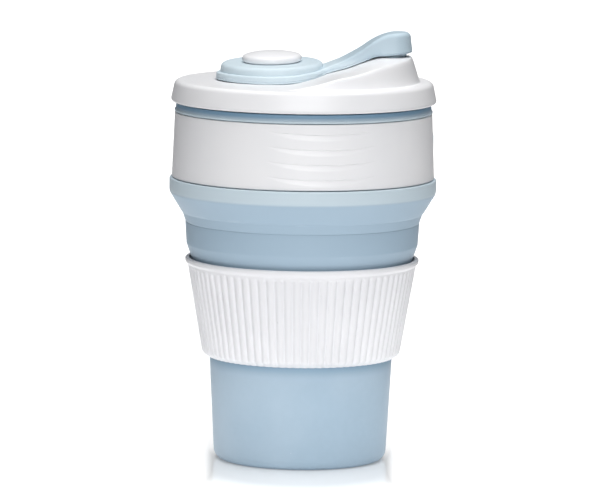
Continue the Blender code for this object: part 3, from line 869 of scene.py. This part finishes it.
def floor_material():
    """Glossy studio floor: pale behind and under the cup, dim in front of it and beside it, with
    a soft glow round the foot, more light far behind, and faint wear in its polish."""
    n = Nodes("studio_floor")
    axes = n.add('ShaderNodeSeparateXYZ')
    n.link(n.place, axes.inputs["Vector"])
    behind = n.remap(axes.outputs["Y"], *FLOOR_FRONT, 0.0, 1.0, 'SMOOTHSTEP')
    pale = n.mix(n.noise(3.0, 2.0), *PALE_FLOOR)
    widening = n.math('MULTIPLY', axes.outputs["Y"], FLOOR_WIDENING)
    aside = n.math('SUBTRACT', n.math('ABSOLUTE', axes.outputs["X"], 0.0), widening)
    lit = n.math('MULTIPLY', behind, n.remap(aside, *FLOOR_SIDE, 1.0, 0.0, 'SMOOTHSTEP'))
    n.link(n.mix(lit, DIM_FLOOR, pale), n.shader.inputs["Base Color"])
    n.link(n.remap(n.noise(12.0, 3.0), 0.3, 0.7, 0.10, 0.14), n.shader.inputs["Roughness"])
    oval = n.add('ShaderNodeVectorMath', operation='MULTIPLY_ADD')
    n.link(n.place, oval.inputs[0])
    oval.inputs[1].default_value = GLOW_SCALE
    oval.inputs[2].default_value = GLOW_SHIFT
    away = n.add('ShaderNodeVectorMath', operation='LENGTH')
    n.link(oval.outputs[0], away.inputs[0])
    distance = away.outputs["Value"]
    around = n.remap(distance, *GLOW_NEAR, *GLOW_LEVELS, 'SMOOTHSTEP')
    far = n.remap(axes.outputs["Y"], *FAR_FLOOR, *FAR_LEVELS, 'SMOOTHSTEP')
    beside = n.remap(n.math('ABSOLUTE', axes.outputs["X"], 0.0), *GLOW_BESIDE,
                     0.0, GLOW_BESIDE_LEVEL, 'SMOOTHSTEP')
    fade = n.remap(distance, *GLOW_FADE, 1.0, GLOW_FADE_LEVEL)
    near = n.math('MULTIPLY', n.math('MAXIMUM', around, beside), fade)
    far = n.math('MULTIPLY', far, n.remap(distance, *FAR_START, 0.0, 1.0))
    glow = n.math('MULTIPLY', n.math('ADD', near, far), n.remap(lit, 0.0, 1.0, DIM_GLOW, 1.0))
    n.shader.inputs["Emission Color"].default_value = (1.0, 1.0, 1.0, 1.0)
    n.link(glow, n.shader.inputs["Emission Strength"])
    return n.material


# ---------------------------------------------------------------- studio

def make_floor():
    bm = bmesh.new()
    bmesh.ops.create_grid(bm, x_segments=24, y_segments=24, size=7.0)
    mesh = bpy.data.meshes.new("floor")
    bm.to_mesh(mesh)
    bm.free()
    floor = linked("floor", mesh)
    floor.data.materials.append(floor_material())


def area_light(name, place, target, width, height, power):
    light = bpy.data.lights.new(name, 'AREA')
    light.shape = 'RECTANGLE'
    light.size, light.size_y = width, height
    light.energy = power
    obj = linked(name, light)
    obj.location = place
    obj.rotation_euler = (Vector(target) - Vector(place)).to_track_quat('-Z', 'Y').to_euler()


def make_world():
    """A studio sky: a band round the horizon, bright behind the cup like lit paper and dim in
    front of it, and an even room above."""
    world = bpy.data.worlds.new("studio")
    world.use_nodes = True
    tree = world.node_tree

    def eased(value, start, end, to_high):
        node = tree.nodes.new('ShaderNodeMapRange')
        node.interpolation_type = 'SMOOTHSTEP'
        tree.links.new(value, node.inputs["Value"])
        node.inputs["From Min"].default_value = start
        node.inputs["From Max"].default_value = end
        node.inputs["To Max"].default_value = to_high
        return node

    place = tree.nodes.new('ShaderNodeTexCoord')
    split = tree.nodes.new('ShaderNodeSeparateXYZ')
    tree.links.new(place.outputs["Generated"], split.inputs["Vector"])
    band = eased(split.outputs["Z"], *SKY_BAND, SKY_TOP)
    back = eased(split.outputs["Y"], *SKY_BACK, SKY_LEVELS[1])
    back.inputs["To Min"].default_value = SKY_LEVELS[0]
    tree.links.new(back.outputs["Result"], band.inputs["To Min"])
    tree.links.new(band.outputs["Result"], tree.nodes["Background"].inputs["Strength"])
    bpy.context.scene.world = world


def make_lights():
    """A large panel in front, a weak one on the left, and a wide soft light from above."""
    middle = (0.0, 0.0, 0.09)
    area_light("front", (0.05, -1.5, 0.7), middle, width=1.1, height=0.7, power=15.3)
    area_light("front_left", (-0.7, -1.3, 0.8), middle, width=0.6, height=0.8, power=0.2)
    sun = bpy.data.lights.new("overhead", 'SUN')
    sun.energy = 3.1
    sun.angle = radians(60)
    linked("overhead", sun).rotation_euler.y = radians(2)


def make_camera():
    """Long lens, level with the cup's upper half and tipped a little down."""
    distance, height, across = 1.97, 0.316, -0.0007
    pitch, roll = radians(7.012), radians(0.7)
    forward = Vector((0.0, cos(pitch), -sin(pitch)))
    right = Vector((1.0, 0.0, 0.0))
    up = right.cross(forward)
    rolled = right * cos(roll) + up * sin(roll)
    upright = up * cos(roll) - right * sin(roll)
    camera = linked("camera", bpy.data.cameras.new("camera"))
    camera.data.sensor_width = 36.0
    camera.data.lens = 339.6
    camera.data.clip_start = 0.05
    camera.data.clip_end = 50.0
    turn = Matrix((rolled, upright, -forward)).transposed().to_4x4()
    camera.matrix_world = Matrix.Translation((across, -distance, height)) @ turn
    bpy.context.scene.camera = camera


# ---------------------------------------------------------------- assembly

def keep_height(mesh):
    """Store each point's height as built, for a material's tones."""
    points = np.empty(len(mesh.vertices) * 3, np.float32)
    mesh.vertices.foreach_get("co", points)
    mesh.attributes.new(HEIGHT, 'FLOAT', 'POINT').data.foreach_set("value", points[2::3].copy())


def place(obj, material, slot, *nodes):
    """Give a piece its material, and let it stand for its CAD nodes. slot is not used."""
    keep_height(obj.data)
    obj.data.materials.clear()
    obj.data.materials.append(material)
    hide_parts(*nodes)
    return obj


def bend(obj):
    """Bake a piece's placement into its mesh."""
    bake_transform(obj)


def main():
    bpy.context.scene.view_settings.view_transform = 'Standard'
    make_camera()
    make_world()
    make_lights()
    make_floor()

    # Tones by height: a painted shadow just under the sleeve, painted shade on the folds above it,
    # a painted highlight on the rim bead, and the lid's painted shadow on the neck
    tones = [(SILICONE_SLEEVE_SHADOW, SLEEVE_LOW - 4.5, SLEEVE_LOW + 0.4, 0.95),
             (SILICONE_DEEP, SLEEVE_TOP - 9.0, SLEEVE_TOP - 3.0, 1.0),
             (SILICONE_RIM_HIGHLIGHT, RIM_LOW - 0.5, RIM_LOW + 0.7, 1.0),
             (SILICONE_NECK, FLANGE_LOW + 0.1, FLANGE_LOW + 2.2, 0.95)]
    cup = soft_silicone("cup_silicone", SILICONE_BLUE, SILICONE_DEEP, tones=tones)
    # The strap's light silicone, with painted shade on the arm and cap above the disc's top
    light = soft_silicone("stopper_silicone", SILICONE_LIGHT, scaled(SILICONE_LIGHT, 0.96), 0.5,
                          tones=[(SILICONE_ARM_SHADE, DISC_TOP - 0.3, DISC_TOP + 2.5, 1.0)])
    white = moulded_plastic("lid_plastic", WHITE_PLASTIC, WHITE_SHADE)
    sleeve_white = moulded_plastic("sleeve_plastic", SLEEVE_WHITE, SLEEVE_SHADE, 0.42, waves=0.08)

    lower = place(smooth(make_cup_lower()), cup, "cup_silicone",
                  "lower_cup", "fold_wall_lower", "ring_lower")
    bend(lower)
    middle = place(smooth(make_cup_middle()), cup, "cup_silicone",
                   "fold_wall_middle", "ring_middle")
    bend(middle)
    upper = place(smooth(make_cup_upper()), cup, "cup_silicone", "fold_wall_upper", "cup_rim")
    bend(upper)

    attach(place(make_collar(), white, "collar_plastic", "collar"), "rim")
    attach(place(make_badge(), light, "badge_silicone", "collar_badge"), "rim")
    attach(place(make_sleeve(), sleeve_white, "sleeve_plastic", "sleeve"), "sleeve")
    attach(place(make_lid(), white, "lid_plastic", "lid"), "lid")
    strap = place(make_strap(), light, "stopper_silicone", "strap_ring", "stopper")
    bend(strap)
    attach(place(make_button(), white, "button_plastic", "button"), "lid")
    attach(place(make_washer(), white, "button_plastic", "button_retainer"), "lid")


main()
